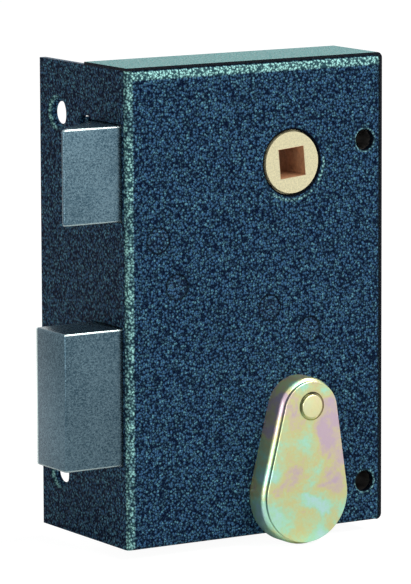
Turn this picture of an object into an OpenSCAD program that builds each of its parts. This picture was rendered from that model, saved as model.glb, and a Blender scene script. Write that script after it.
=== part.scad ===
// Surface-mounted rim lock with a sprung latch bolt, a thrown dead bolt and a hanging key cover.
// The spindle axis meets the door's face at the origin: X runs away from the forend,
// Y runs into the door and Z is up. The room side of the case faces -Y.

/* [Case] */
// Width of the case over the rim
case_w = 85; // [80:0.5:100]
// Height of the case over the rim
case_h = 135.5; // [130:0.5:160]
// Depth of the case, from the door's face to the front
case_d = 23.4; // [22:0.1:28]
// Reach of the forend past the door's face
flange_reach = 25; // [20:0.5:35]
// Thickness of the bent front and forend plate
plate_t = 2; // [1.6:0.1:2.2]
// Thickness of the rim strip
rim_t = 0.8; // [0.7:0.1:1.2]
// Thickness of the back cover
cover_t = 1.2; // [1:0.1:1.5]
// Outer radius of the bend between front and forend
bend_r = 2.6; // [2.3:0.1:3]
// Rounding of the front plate's pressed edges
edge_r = 1.3; // [0.5:0.1:1.5]
// Outer corner radius of the rim strip
rim_r = 1.7; // [1.3:0.1:2.5]
// How far the rim strip's front edge lies behind the case's front
rim_set = 0.6; // [0.3:0.1:1.2]

/* [Spindle hub] */
// Distance from the case's free side to the spindle axis
spindle_edge = 31; // [29:0.5:33]
// Distance from the top of the case to the spindle axis
hub_drop = 29.6; // [29:0.1:34]
// Diameter of the hub's face
hub_face_d = 17.5; // [16:0.1:18]
// Width across the flats of the square hole
spindle_w = 8.3; // [7:0.1:9]
// Turn of the square hole at rest
spindle_turn = 5; // [0:1:10]
// Height above the spindle axis at which the hub's arm pushes the latch
arm_r = 18.5; // [17:0.1:19]
// Turn of the hub from rest to its stop
hub_swing = 55; // [40:1:55]
// Thickness of the hub's arm
arm_t = 6; // [4:0.5:6.5]

/* [Latch bolt] */
// Height of the latch bolt
latch_h = 26.9; // [24:0.1:28]
// Reach of the latch bolt past the forend
latch_out = 18.3; // [17:0.1:20]
// Length of the latch bolt's head
latch_len = 34; // [32:0.5:36]
// Thickness of the latch bolt's tip
latch_tip_t = 1.2; // [1:0.1:4]

/* [Dead bolt] */
// Reach of the thrown dead bolt past the forend
bolt_out = 18.4; // [17:0.1:20]
// Length of the dead bolt's head
bolt_len = 42; // [38:0.5:44]
// Distance from the spindle axis down to the dead bolt's top
bolt_drop = 43.4; // [43.2:0.1:46]
// Distance from the case's bottom up to the dead bolt's underside
bolt_up = 23.6; // [23:0.1:26]
// Travel of the dead bolt
bolt_travel = 17.9; // [14:0.1:17.9]
// Thickness of both bolts' tail plates
tail_t = 3; // [2.5:0.1:3.5]

/* [Key rose and cover] */
// Distance from the case's bottom up to the key's axis
key_up = 16.4; // [15.5:0.1:17]
// Diameter of the keyhole's round part
keyhole_d = 7; // [6:0.1:8]
// Width of the keyhole's slot
key_slot_w = 3.2; // [2.5:0.1:4]
// Reach of the keyhole's slot below the key's axis
key_slot_l = 11; // [9:0.5:12]
// Height of the pressed rose
rose_h = 7; // [5:0.1:9]
// Wall of the pressed rose
rose_t = 1; // [0.8:0.1:1.2]
// Radius of the rose's front edge
rose_edge_r = 1.8; // [1.2:0.1:2]
// Radius of the rose's lower end
rose_low_r = 14.3; // [13.5:0.1:15]
// Radius of the rose's upper end
rose_top_r = 9.6; // [9:0.1:10]
// Distance between the rose's two end centres
rose_pitch = 24; // [22:0.1:25]
// Lean of the rose and its cover from upright
rose_lean = 3; // [0:0.1:6]
// Distance from the key's axis down to the centre of the rose's lower end
rose_below = 4.9; // [4:0.1:6]
// Thickness of the swinging cover
lid_t = 1.1; // [1:0.1:2]
// Margin of the rose left bare around the cover
lid_inset = 0.8; // [0.6:0.1:2]
// Distance from the rose's upper centre up to the pivot pin
pin_up = 1.7; // [1:0.1:2]
// Diameter of the pivot pin's head
pin_head_d = 6.6; // [6:0.1:7]
// Diameter of the pivot pin
pin_d = 4; // [3:0.1:4.5]
// Height of the pin's head over the cover
pin_proud = 0.6; // [0.2:0.1:1]

/* [Fixings] */
// Diameter of the through screw holes in the case
screw_hole_d = 5.9; // [5:0.1:6.2]
// Distance from the case's free side to the through screws
screw_edge = 6.2; // [5.6:0.1:7]
// Height of the upper through screw above the spindle axis
screw_up = 4.8; // [0:0.1:8]
// Distance from the case's bottom up to the lower through screw
screw_low = 11.8; // [10:0.1:14]
// Diameter of the forend's screw holes
flange_hole_d = 6.5; // [5:0.1:7]
// Diameter of their countersinks
flange_sink_d = 10.4; // [10:0.1:11]
// Distance from the door's face to the forend's screw holes
flange_hole_y = 15.4; // [12:0.1:16]
// Height of the upper forend screw above the spindle axis
flange_hole_up = 13.8; // [10:0.1:16]
// Distance from the case's bottom up to the lower forend screw
flange_low = 16.5; // [14:0.1:20]

/* [Fits] */
// Gap on each side of a bolt in its forend slot
slot_gap = 0.35; // [0.3:0.05:0.5]
// Radial gap of a turning fit
turn_gap = 0.08; // [0.05:0.01:0.1]
// Gap between faces that slide or lie beside each other
face_gap = 0.1; // [0.05:0.05:0.2]
// Gap between the bolts and the front plate
bolt_front_gap = 1.5; // [1.2:0.1:2]
// Gap between the bolts and the back cover
bolt_back_gap = 2.5; // [2:0.1:3]

/* [Hidden] */
$fn = 96;

enamel = [0.13, 0.22, 0.31];
steel = [0.55, 0.57, 0.58];
zinc = [0.80, 0.76, 0.42];
brass = [0.86, 0.78, 0.58];
dark_steel = [0.30, 0.31, 0.33];

right_x = spindle_edge;
left_x = right_x - case_w;
top_z = hub_drop;
low_z = top_z - case_h;
front_y = -case_d;
inner_x = left_x + plate_t;
inner_right_x = right_x - rim_t;
inner_top_z = top_z - rim_t;
inner_low_z = low_z + rim_t;
inner_front_y = front_y + plate_t;
inner_back_y = -cover_t;
mid_y = (inner_front_y + inner_back_y) / 2;

latch_travel = arm_r * hub_swing * PI / 180;
bolt_front_y = inner_front_y + bolt_front_gap;
bolt_back_y = inner_back_y - bolt_back_gap;
bolt_top_z = -bolt_drop;
bolt_low_z = low_z + bolt_up;
bolt_h = bolt_top_z - bolt_low_z;
latch_tail_y = bolt_back_y - 1.1 - tail_t;
bolt_tail_y = mid_y - tail_t / 2;
arm_y = latch_tail_y - face_gap * 4 - arm_t;

screw_x = right_x - screw_edge;
screw_zs = [screw_up, low_z + screw_low];
flange_zs = [flange_hole_up, low_z + flange_low];
key_z = low_z + key_up;

// The two spring posts and the two guides, as [x, z]
stop_pillar = [left_x + 9.8, -latch_h / 2 - 5.55];
spring_post = [left_x + 15.9, -latch_h / 2 - 19.05];
detent_at = [-7.5, bolt_top_z + 2.6];
guide_at = [5.9, bolt_top_z - 4.7];
post_r = 2.5;
pillar_r = 3.4;
rivet_r = 3.3;
rivet_gap = 0.02;
tapped_r = 1.65;
cover_screw_r = 1.6;
cover_screw_head_r = 3.2;
cover_screw_l = 7;
cross_l = 3.8;
cross_w = 0.8;
tapped_depth = 9;

// Notch behind the latch slot that takes the back cover's tab
notch_w = 6.2;
notch_h = 6;
notch_top_z = latch_h / 2 + 1.15;
notch_r = 1.5;

// Rivets and sockets that join the bolts' heads and tail plates
tail_socket = 9;
socket_gap = 0.05;
head_rivet_r = 1.6;
latch_rivet_z = 7;
latch_rear_x = left_x - latch_out + latch_len;
bolt_tip_x = left_x - bolt_out;
bolt_rear_x = bolt_tip_x + bolt_len;
bolt_rivet_zs = [bolt_top_z - bolt_h / 5, bolt_low_z + bolt_h / 5];
tail_top_z = detent_at.y - post_r - 0.3;
tail_end_x = inner_right_x - bolt_travel - 0.8;
detent_x = 1.5;
detent_depth = 1.6;
detent_half_w = 2;

// Spring wire and coils
wire_r = 0.6;
coil_r = post_r + 0.3 + wire_r;
turn_pitch = 2.2 * wire_r;

ward_r = 8;
ward_h = 3;
ward_t = 0.9;
ward_gap = 3;
tab_w = 5;
tab_out = 1;
tab_foot = 3;

// Centres of the rose's ends and of the pin, as [x, z]
rose_low = [0, key_z - rose_below];
lean_dir = [sin(rose_lean), cos(rose_lean)];
rose_top = rose_low + rose_pitch * lean_dir;
pin_at = rose_top + pin_up * lean_dir;
rose_front_y = front_y - rose_h;
lid_back_y = rose_front_y - face_gap;
pin_sink = lid_t / 2;

// Turns a flat shape drawn as [x, z] into a plate from y0 towards +Y
module plate_y(y0, thick) {
    translate([0, y0 + thick, 0])
        rotate([90, 0, 0])
            linear_extrude(thick) children();
}

// Round bar along Y from y0 to y1 at [x, z]
module bar_y(at, r, y0, y1) {
    translate([at.x, y0, at.y])
        rotate([-90, 0, 0])
            cylinder(r = r, h = y1 - y0);
}

// Cone along Y from y0 to y1 at [x, z]
module cone_y(at, r0, r1, y0, y1) {
    translate([at.x, y0, at.y])
        rotate([-90, 0, 0])
            cylinder(r1 = r0, r2 = r1, h = y1 - y0);
}

module box(x0, x1, y0, y1, z0, z1) {
    translate([x0, y0, z0])
        cube([x1 - x0, y1 - y0, z1 - z0]);
}

module rounded_rect(x0, x1, z0, z1, r) {
    translate([x0, z0 + r]) square([x1 - x0, z1 - z0 - 2 * r]);
    translate([x0 + r, z0]) square([x1 - x0 - 2 * r, z1 - z0]);
    for (x = [x0 + r, x1 - r], z = [z0 + r, z1 - r])
        translate([x, z]) circle(r);
}

// Angle from the line of centres at which the common tangent meets two circles
function tangent_angle(r_low, r_top, pitch) = acos((r_low - r_top) / pitch);
function polar(c, r, a) = c + r * [cos(a), sin(a)];

// Outline of two round ends joined by their tangents
module pear(r_low, r_top, low = rose_low, top = rose_top) {
    pitch = norm(top - low);
    up = atan2(top.y - low.y, top.x - low.x);
    a = tangent_angle(r_low, r_top, pitch);
    translate(low) circle(r_low);
    translate(top) circle(r_top);
    polygon([polar(low, r_low, up - a), polar(top, r_top, up - a),
        polar(top, r_top, up + a), polar(low, r_low, up + a)]);
}

// Round puck whose front edge, towards -Y, is rounded
module soft_puck(at, r, y_front, y_back, soft) {
    translate([at.x, y_back, at.y])
        rotate([90, 0, 0])
            rotate_extrude($fn = 64) {
                square([r - soft, y_back - y_front]);
                square([r, y_back - y_front - soft]);
                translate([r - soft, y_back - y_front - soft])
                    intersection() {
                        circle(soft, $fn = 32);
                        square(soft);
                    }
            }
}

// Pear-shaped solid with a rounded front edge
module soft_pear(r_low, r_top, y_front, y_back, soft) {
    hull() {
        soft_puck(rose_low, r_low, y_front, y_back, soft);
        soft_puck(rose_top, r_top, y_front, y_back, soft);
    }
}

module keyhole(grow = 0) {
    translate([0, key_z]) circle(keyhole_d / 2 + grow);
    translate([-key_slot_w / 2 - grow, key_z - key_slot_l - grow])
        square([key_slot_w + 2 * grow, key_slot_l + grow]);
}

// Section of the bent plate, drawn as [x, y]
module plate_section() {
    inner_r = bend_r - plate_t;
    difference() {
        union() {
            translate([left_x + bend_r, front_y])
                square([inner_right_x - left_x - bend_r, plate_t]);
            translate([left_x, front_y + bend_r])
                square([plate_t, case_d + flange_reach - bend_r]);
            translate([left_x + bend_r, front_y + bend_r])
                intersection() {
                    circle(bend_r);
                    translate([-bend_r, -bend_r]) square(bend_r);
                }
        }
        translate([left_x + bend_r, front_y + bend_r]) circle(inner_r);
    }
}

// Side view of the plate with its pressed front edges, drawn as [y, z]
module plate_side() {
    translate([front_y, low_z + edge_r])
        square([edge_r, inner_top_z - low_z - 2 * edge_r]);
    translate([front_y + edge_r, low_z])
        square([case_d + flange_reach - edge_r, inner_top_z - low_z]);
    for (z = [low_z + edge_r, inner_top_z - edge_r])
        translate([front_y + edge_r, z]) circle(edge_r);
}

// Plan of the plate with its pressed free edge, drawn as [x, y]
module plate_plan() {
    deep = case_d + flange_reach;
    translate([left_x, front_y])
        square([inner_right_x - edge_r - left_x, deep]);
    translate([left_x, front_y + edge_r])
        square([inner_right_x - left_x, deep - edge_r]);
    translate([inner_right_x - edge_r, front_y + edge_r]) circle(edge_r);
}

module rose_tab_slots() {
    for (side = [-1, 1])
        box(rose_low.x + side * (rose_low_r - rose_t / 2) - rose_t / 2 - face_gap,
            rose_low.x + side * (rose_low_r - rose_t / 2) + rose_t / 2 + face_gap,
            front_y - 1, inner_front_y + 1,
            rose_low.y - tab_w / 2 - face_gap, rose_low.y + tab_w / 2 + face_gap);
}

// Front view of the plate, drawn as [x, z]
module plate_front() {
    rounded_rect(left_x - rim_r, inner_right_x, low_z, inner_top_z, rim_r - rim_t);
}

module case_plate() {
    color(enamel)
    difference() {
        intersection() {
            translate([0, 0, low_z])
                linear_extrude(inner_top_z - low_z) plate_section();
            translate([left_x, 0, 0])
                rotate([90, 0, 90])
                    linear_extrude(case_w) plate_side();
            translate([0, 0, low_z])
                linear_extrude(case_h) plate_plan();
            plate_y(front_y, case_d + flange_reach) plate_front();
        }
        bar_y([0, 0], hub_face_d / 2 + 0.5, front_y - 1, inner_front_y + 1);
        cone_y([0, 0], hub_face_d / 2 + 0.9, hub_face_d / 2 + 0.5, front_y, front_y + 0.4);
        for (z = screw_zs) {
            bar_y([screw_x, z], screw_hole_d / 2, front_y - 1, inner_front_y + 1);
            cone_y([screw_x, z], screw_hole_d / 2 + 0.4, screw_hole_d / 2, front_y, front_y + 0.4);
        }
        plate_y(front_y - 1, plate_t + 2) keyhole(0.3);
        bar_y(pin_at, pin_d / 2 + rivet_gap, front_y - 1, inner_front_y + 1);
        rose_tab_slots();
        for (at = [stop_pillar, spring_post, detent_at, guide_at])
            cone_y(at, rivet_r + rivet_gap, post_r + rivet_gap, front_y, inner_front_y);
        box(left_x - 1, inner_x + 1, bolt_front_y - slot_gap, bolt_back_y + slot_gap,
            -latch_h / 2 - slot_gap, latch_h / 2 + slot_gap);
        latch_notch();
        box(left_x - 1, inner_x + 1, bolt_front_y - slot_gap, bolt_back_y + slot_gap,
            bolt_low_z - slot_gap, bolt_top_z + slot_gap);
        for (z = flange_zs) {
            translate([left_x - 1, flange_hole_y, z])
                rotate([0, 90, 0]) cylinder(d = flange_hole_d, h = plate_t + 2);
            translate([left_x, flange_hole_y, z])
                rotate([0, 90, 0])
                    cylinder(d1 = flange_sink_d, d2 = flange_hole_d, h = plate_t * 0.8);
        }
    }
}

// Notch in the forend at the latch slot's rear upper corner
module latch_notch() {
    notch_y = bolt_back_y + slot_gap;
    translate([left_x - 1, 0, 0])
        rotate([90, 0, 90])
            linear_extrude(plate_t + 2)
                rounded_rect(notch_y, notch_y + notch_w, notch_top_z - notch_h, notch_top_z, notch_r);
}

// One strip round the top, the free side and the bottom, where it lies behind the plate
module rim_strip() {
    color(enamel)
    difference() {
        plate_y(front_y + rim_set, case_d - rim_set)
            intersection() {
                difference() {
                    rounded_rect(left_x - 2 * rim_r, right_x, low_z, top_z, rim_r);
                    rounded_rect(left_x - 2 * rim_r - 1, inner_right_x, inner_low_z, inner_top_z,
                        rim_r - rim_t);
                }
                translate([left_x, low_z]) square([case_w, case_h]);
            }
        plate_y(front_y, plate_t) plate_front();
        box(left_x - 1, inner_x, front_y, 1, low_z - 1, inner_top_z);
    }
}

// Cover with a tab that hooks into the forend's notch
module back_cover() {
    color(enamel)
    difference() {
        plate_y(inner_back_y, cover_t)
            difference() {
                union() {
                    rounded_rect(inner_x + face_gap, inner_right_x - face_gap,
                        inner_low_z + face_gap, inner_top_z - face_gap, rim_r - rim_t);
                    translate([left_x + 2 * face_gap, notch_top_z - notch_h + 2 * face_gap])
                        square([plate_t + 1, notch_h - 0.6]);
                }
                keyhole(0.3);
            }
        bar_y([0, 0], hub_face_d / 2 + turn_gap, inner_back_y - 1, 1);
        for (z = screw_zs)
            bar_y([screw_x, z], screw_hole_d / 2, inner_back_y - 1, 1);
        for (at = [stop_pillar, guide_at]) {
            bar_y(at, cover_screw_r + 0.2, inner_back_y - 1, 1);
            cone_y(at, cover_screw_r + 0.2, cover_screw_head_r + face_gap, inner_back_y, 0);
        }
    }
}

module cover_screws() {
    color(zinc)
    for (at = [stop_pillar, guide_at])
        difference() {
            union() {
                bar_y(at, cover_screw_r, inner_back_y - cover_screw_l, inner_back_y + 0.1);
                cone_y(at, cover_screw_r, cover_screw_head_r, inner_back_y, 0);
            }
            for (turn = [0, 90])
                translate([at.x, -0.6, at.y])
                    rotate([0, turn + 20, 0])
                        translate([-cross_l / 2, 0, -cross_w / 2]) cube([cross_l, 1, cross_w]);
        }
}

// Latch bolt: flat towards the room, bevelled towards the door
module latch_head() {
    tip_x = left_x - latch_out;
    bevel_x = left_x - 0.4;
    tip_y = bolt_front_y + latch_tip_t;
    tip_round = latch_tip_t / 2;
    color(steel)
    difference() {
        translate([0, 0, -latch_h / 2])
            linear_extrude(latch_h)
                polygon([[tip_x, bolt_front_y], [latch_rear_x, bolt_front_y], [latch_rear_x, bolt_back_y],
                    [bevel_x, bolt_back_y], [tip_x + tip_round, tip_y], [tip_x, tip_y - tip_round]]);
        // Slot and rivet holes for the tail plate
        box(latch_rear_x - tail_socket, latch_rear_x + 1, latch_tail_y - socket_gap,
            latch_tail_y + tail_t + socket_gap, -latch_h / 2 - 1, latch_h / 2 + 1);
        for (z = [-latch_rivet_z, latch_rivet_z])
            bar_y([latch_rear_x - tail_socket / 2, z], head_rivet_r + rivet_gap,
                bolt_front_y - 1, bolt_back_y + 1);
    }
}

// Stirrup plate that joins the latch bolt to the hub's arm
module latch_tail() {
    socket_x = latch_rear_x - tail_socket + 0.1;
    lug_x = face_gap;
    lug_w = 3;
    bar_low = arm_r - 3.2;
    bar_high = arm_r + 3.2;
    bar_x = latch_rear_x + 1;
    color(dark_steel)
    difference() {
        union() {
            plate_y(latch_tail_y, tail_t)
                union() {
                    translate([socket_x, -latch_h / 2 + 1]) square([tail_socket + 4, latch_h - 2]);
                    translate([bar_x, 4]) square([7, bar_high - 4]);
                    translate([bar_x, bar_low]) square([lug_x + lug_w - bar_x, bar_high - bar_low]);
                }
            box(lug_x, lug_x + lug_w, arm_y, latch_tail_y + 0.1, bar_low, bar_high);
        }
        for (z = [-latch_rivet_z, latch_rivet_z])
            bar_y([latch_rear_x - tail_socket / 2, z], head_rivet_r + rivet_gap,
                latch_tail_y - 1, latch_tail_y + tail_t + 1);
    }
}

module latch_rivets() {
    color(steel)
    for (z = [-latch_rivet_z, latch_rivet_z])
        bar_y([latch_rear_x - tail_socket / 2, z], head_rivet_r, bolt_front_y + 0.1, bolt_back_y - 0.1);
}

// Point of the arm's pushing face at a turn of a degrees: an involute of the circle arm_r,
// so that the latch moves arm_r for each radian at every point of the swing
function arm_point(a) = arm_r * [a * PI / 180 * cos(a) - sin(a), a * PI / 180 * sin(a) + cos(a)];

module follower() {
    body_r = 12;
    back_r = hub_face_d / 2;
    arm_back = 9;
    tip = arm_point(hub_swing);
    color(brass)
    difference() {
        union() {
            bar_y([0, 0], hub_face_d / 2, front_y - 0.1, inner_front_y + 0.2);
            bar_y([0, 0], body_r, inner_front_y + 0.2, arm_y + arm_t);
            bar_y([0, 0], back_r, arm_y + arm_t, 0);
            plate_y(arm_y, arm_t)
                polygon(concat([[0, 0]], [for (a = [0:5:hub_swing]) arm_point(a)], [tip],
                    [tip + [-1, 0.6], tip + [-3.4, -0.2], [-arm_back - 1, 12], [-arm_back, 4]]));
        }
        translate([0, front_y - 1, 0])
            rotate([0, -spindle_turn, 0])
                translate([-spindle_w / 2, 0, -spindle_w / 2])
                    cube([spindle_w, case_d + 2, spindle_w]);
    }
}

function unit(v) = v / norm(v);

// Round wire of radius r swept along a path, its rings carried on without twist
module wire(path, r = wire_r, sides = 8) {
    last = len(path) - 1;
    dirs = [for (i = [0:last]) unit(path[min(i + 1, last)] - path[max(i - 1, 0)])];
    normals = [for (i = 0, v = unit(cross(dirs[0], [0.3, 1, 0.2])); i <= last;
        i = i + 1, v = i <= last ? unit(v - dirs[i] * (v * dirs[i])) : v) v];
    rings = [for (i = [0:last], k = [0:sides - 1])
        let(a = k * 360 / sides)
            path[i] + r * (cos(a) * normals[i] + sin(a) * cross(dirs[i], normals[i]))];
    walls = [for (i = [0:last - 1], k = [0:sides - 1])
        [i * sides + k, (i + 1) * sides + k,
            (i + 1) * sides + (k + 1) % sides, i * sides + (k + 1) % sides]];
    ends = [[for (k = [0:sides - 1]) k], [for (k = [sides - 1:-1:0]) last * sides + k]];
    polyhedron(rings, concat(walls, ends));
}

// Points of a coil round a post along Y, from angle a0 to a1 as seen from the front
function coil_points(at, y0, a0, a1, step = 22.5) =
    [for (i = [0:abs(a1 - a0) / step])
        let(a = a0 + sign(a1 - a0) * i * step)
        [at.x + coil_r * cos(a), y0 + turn_pitch * i * step / 360, at.y + coil_r * sin(a)]];

// Legged spring round its post: one leg braced on the pillar, one behind the latch bolt
module latch_spring() {
    y_low = inner_front_y + 2.5;
    turns = 5.5;
    y_high = y_low + turns * turn_pitch;
    push_x = latch_rear_x + wire_r + 0.3;
    brace_x = stop_pillar.x - pillar_r - wire_r - 0.3;
    color(dark_steel)
    wire(concat(
        [[brace_x, y_low, stop_pillar.y + 3], [brace_x, y_low, stop_pillar.y - 3]],
        coil_points(spring_post, y_low, 180, 180 + 360 * turns),
        [[push_x, y_high, -latch_h / 2 - 3], [push_x, y_high, -latch_h / 2 + 4]]));
}

// Post riveted flush into the front plate
module riveted(at, r, y_end) {
    cone_y(at, rivet_r, post_r, front_y, inner_front_y);
    bar_y(at, r, inner_front_y, y_end);
}

module spring_stop_pillar() {
    color(steel)
    difference() {
        riveted(stop_pillar, pillar_r, inner_back_y);
        bar_y(stop_pillar, tapped_r, inner_back_y - tapped_depth, inner_back_y + 1);
    }
}

module latch_spring_post() {
    color(steel)
    riveted(spring_post, post_r, inner_back_y - 2);
}

module detent_post() {
    color(steel)
    riveted(detent_at, post_r, inner_back_y - 1);
}

module bolt_guide_pillar() {
    color(steel)
    difference() {
        riveted(guide_at, post_r, inner_back_y);
        bar_y(guide_at, tapped_r, inner_back_y - tapped_depth, inner_back_y + 1);
    }
}

module dead_bolt_head() {
    color(steel)
    difference() {
        box(bolt_tip_x, bolt_rear_x, bolt_front_y, bolt_back_y, bolt_low_z, bolt_top_z);
        box(bolt_rear_x - tail_socket, bolt_rear_x + 1, bolt_tail_y - socket_gap,
            bolt_tail_y + tail_t + socket_gap, bolt_low_z - 1, bolt_top_z + 1);
        for (z = bolt_rivet_zs)
            bar_y([bolt_rear_x - tail_socket / 2, z], head_rivet_r + rivet_gap,
                bolt_front_y - 1, bolt_back_y + 1);
    }
}

// Bolt plate: guided by the pillar in its slot and moved by the key in its talon
module dead_bolt_tail() {
    talon_w = 9;
    talon_top = key_z + 11.6;
    prong_low = key_z + 6.3;
    talon_x = -bolt_travel / 2;
    slot_r = post_r + 0.3;
    color(dark_steel)
    plate_y(bolt_tail_y, tail_t)
        difference() {
            union() {
                translate([bolt_rear_x - tail_socket + 0.1, bolt_low_z + 1])
                    square([tail_end_x - bolt_rear_x + tail_socket - 0.1, tail_top_z - bolt_low_z - 1]);
                translate([talon_x - talon_w / 2 - 5, prong_low])
                    square([talon_w + 10, bolt_low_z + 2 - prong_low]);
            }
            // Talon for the key's bit
            translate([talon_x - talon_w / 2, prong_low - 1]) square([talon_w, talon_top - prong_low + 1]);
            // Slot round the guide pillar
            translate([guide_at.x - bolt_travel, guide_at.y - slot_r])
                square([bolt_travel, 2 * slot_r]);
            for (x = [guide_at.x - bolt_travel, guide_at.x])
                translate([x, guide_at.y]) circle(slot_r);
            // Two notches for the detent spring, one at each end of the travel
            for (x = [detent_x, detent_x - bolt_travel])
                translate([x, tail_top_z])
                    polygon([[-detent_half_w, 0.1], [0, -detent_depth - 0.4], [detent_half_w, 0.1]]);
            for (z = bolt_rivet_zs)
                translate([bolt_rear_x - tail_socket / 2, z]) circle(head_rivet_r + rivet_gap);
        }
}

module dead_bolt_rivets() {
    color(steel)
    for (z = bolt_rivet_zs)
        bar_y([bolt_rear_x - tail_socket / 2, z], head_rivet_r, bolt_front_y + 0.1, bolt_back_y - 0.1);
}

// Legged spring whose cross bar snaps into the bolt plate's notches
module detent_spring() {
    y_low = bolt_tail_y + tail_t + 1.2;
    turns = 3;
    y_high = y_low + turns * turn_pitch;
    bar_z = tail_top_z - 0.7;
    knee_x = bolt_rear_x + bolt_travel - 0.1;
    brace_z = spring_post.y - post_r - wire_r - 0.3;
    color(dark_steel)
    wire(concat(
        [[detent_x, bolt_tail_y - 0.6, bar_z], [detent_x, y_low - 0.7, bar_z],
            [detent_x - 0.7, y_low, bar_z]],
        coil_points(detent_at, y_low, -90, -90 - 360 * turns),
        [[knee_x + 2.5, y_high, bolt_top_z - 0.5], [knee_x, y_high, bolt_top_z + 1.1],
            [spring_post.x, y_high, brace_z], [spring_post.x - 3, y_high, brace_z]]));
}

// Distance tubes that take the clamping load of the two through screws
module screw_sleeves() {
    color(steel)
    for (z = screw_zs)
        difference() {
            bar_y([screw_x, z], screw_edge - rim_t - 0.4, inner_front_y, inner_back_y);
            bar_y([screw_x, z], screw_hole_d / 2, inner_front_y - 1, inner_back_y + 1);
        }
}

module ward(y0) {
    color(dark_steel)
    difference() {
        bar_y([0, key_z], ward_r, y0, y0 + ward_h);
        bar_y([0, key_z], ward_r - ward_t, y0 - 1, y0 + ward_h + 1);
        box(-ward_gap, ward_gap, y0 - 1, y0 + ward_h + 1, key_z - ward_r - 1, key_z);
    }
}

module front_ward() {
    ward(inner_front_y);
}

module rear_ward() {
    ward(inner_back_y - ward_h);
}

// Deep-drawn pear-shaped rose, hollow towards the case, held by the pin and two bent tabs
module key_rose() {
    color(zinc) {
        difference() {
            soft_pear(rose_low_r, rose_top_r, rose_front_y, front_y, rose_edge_r);
            plate_y(rose_front_y + rose_t, rose_h)
                pear(rose_low_r - rose_t, rose_top_r - rose_t);
            plate_y(rose_front_y - 1, rose_t + 2) keyhole(0.1);
            bar_y(pin_at, pin_d / 2 + rivet_gap, rose_front_y - 1, front_y);
        }
        for (side = [-1, 1]) {
            x = rose_low.x + side * (rose_low_r - rose_t / 2);
            box(x - rose_t / 2, x + rose_t / 2, front_y - 0.2, inner_front_y + tab_out,
                rose_low.y - tab_w / 2, rose_low.y + tab_w / 2);
            box(x - (side > 0 ? tab_foot : rose_t / 2), x + (side > 0 ? rose_t / 2 : tab_foot),
                inner_front_y, inner_front_y + tab_out,
                rose_low.y - tab_w / 2, rose_low.y + tab_w / 2);
        }
    }
}

// Pivot rivet: head in the cover's recess, tail closed behind the front plate
module cover_pin() {
    lid_front_y = lid_back_y - lid_t;
    color(zinc) {
        bar_y(pin_at, pin_head_d / 2, lid_front_y - pin_proud, lid_front_y + pin_sink);
        bar_y(pin_at, pin_d / 2, lid_front_y, inner_front_y + 0.5);
        bar_y(pin_at, pin_d / 2 + 1, inner_front_y, inner_front_y + 0.9);
    }
}

// Swinging cover plate
module key_cover() {
    soft = 0.4;
    lid_front_y = lid_back_y - lid_t;
    color(zinc)
    difference() {
        soft_pear(rose_low_r - lid_inset, rose_top_r - lid_inset, lid_front_y, lid_back_y, soft);
        bar_y(pin_at, pin_d / 2 + turn_gap, lid_front_y - 1, lid_back_y + 1);
        bar_y(pin_at, pin_head_d / 2 + 0.8, lid_front_y - 1, lid_front_y + pin_sink + 0.05);
    }
}

case_plate();
rim_strip();
back_cover();
cover_screws();
latch_head();
latch_tail();
latch_rivets();
latch_spring();
spring_stop_pillar();
latch_spring_post();
follower();
dead_bolt_head();
dead_bolt_tail();
dead_bolt_rivets();
detent_post();
bolt_guide_pillar();
detent_spring();
screw_sleeves();
front_ward();
rear_ward();
key_rose();
cover_pin();
key_cover();
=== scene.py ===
import math

import bpy
from mathutils import Matrix, Vector


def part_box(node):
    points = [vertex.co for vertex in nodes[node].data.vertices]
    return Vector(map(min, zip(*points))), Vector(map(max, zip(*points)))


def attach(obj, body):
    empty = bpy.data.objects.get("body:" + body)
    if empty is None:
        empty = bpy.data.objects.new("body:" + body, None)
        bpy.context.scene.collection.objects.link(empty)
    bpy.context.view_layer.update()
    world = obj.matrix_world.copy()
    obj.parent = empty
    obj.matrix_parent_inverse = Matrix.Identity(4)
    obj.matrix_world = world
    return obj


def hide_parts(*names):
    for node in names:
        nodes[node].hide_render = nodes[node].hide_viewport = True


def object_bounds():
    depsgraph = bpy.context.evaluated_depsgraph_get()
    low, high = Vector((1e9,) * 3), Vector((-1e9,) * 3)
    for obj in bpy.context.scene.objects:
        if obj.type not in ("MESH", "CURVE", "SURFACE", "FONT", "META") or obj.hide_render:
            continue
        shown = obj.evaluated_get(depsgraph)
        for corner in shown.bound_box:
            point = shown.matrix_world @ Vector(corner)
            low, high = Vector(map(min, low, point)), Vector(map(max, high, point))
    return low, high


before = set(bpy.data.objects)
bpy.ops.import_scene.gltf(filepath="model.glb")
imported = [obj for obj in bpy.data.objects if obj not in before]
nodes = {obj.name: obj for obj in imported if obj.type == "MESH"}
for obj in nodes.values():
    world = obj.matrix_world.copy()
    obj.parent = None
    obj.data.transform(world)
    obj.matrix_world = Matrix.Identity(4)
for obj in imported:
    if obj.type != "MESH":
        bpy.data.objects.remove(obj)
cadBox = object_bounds()
scene = bpy.context.scene
mm = 0.001
clear = 1.0 * mm  # how far a cutter stands past the face it cuts
print("frame loaded:", len(nodes), "nodes")


# small helpers for modelling as by hand

def deselectAll():
    if bpy.context.mode != "OBJECT":
        bpy.ops.object.mode_set(mode="OBJECT")
    bpy.ops.object.select_all(action="DESELECT")


def makeActive(obj):
    deselectAll()
    obj.select_set(True)
    bpy.context.view_layer.objects.active = obj


def named(name):
    obj = bpy.context.object
    obj.name = name
    obj.data.name = name
    return obj


def editMode(obj, kind="VERT"):
    makeActive(obj)
    bpy.ops.object.mode_set(mode="EDIT")
    bpy.ops.mesh.select_mode(type=kind)
    bpy.ops.mesh.select_all(action="DESELECT")
    bpy.ops.object.mode_set(mode="OBJECT")


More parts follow.
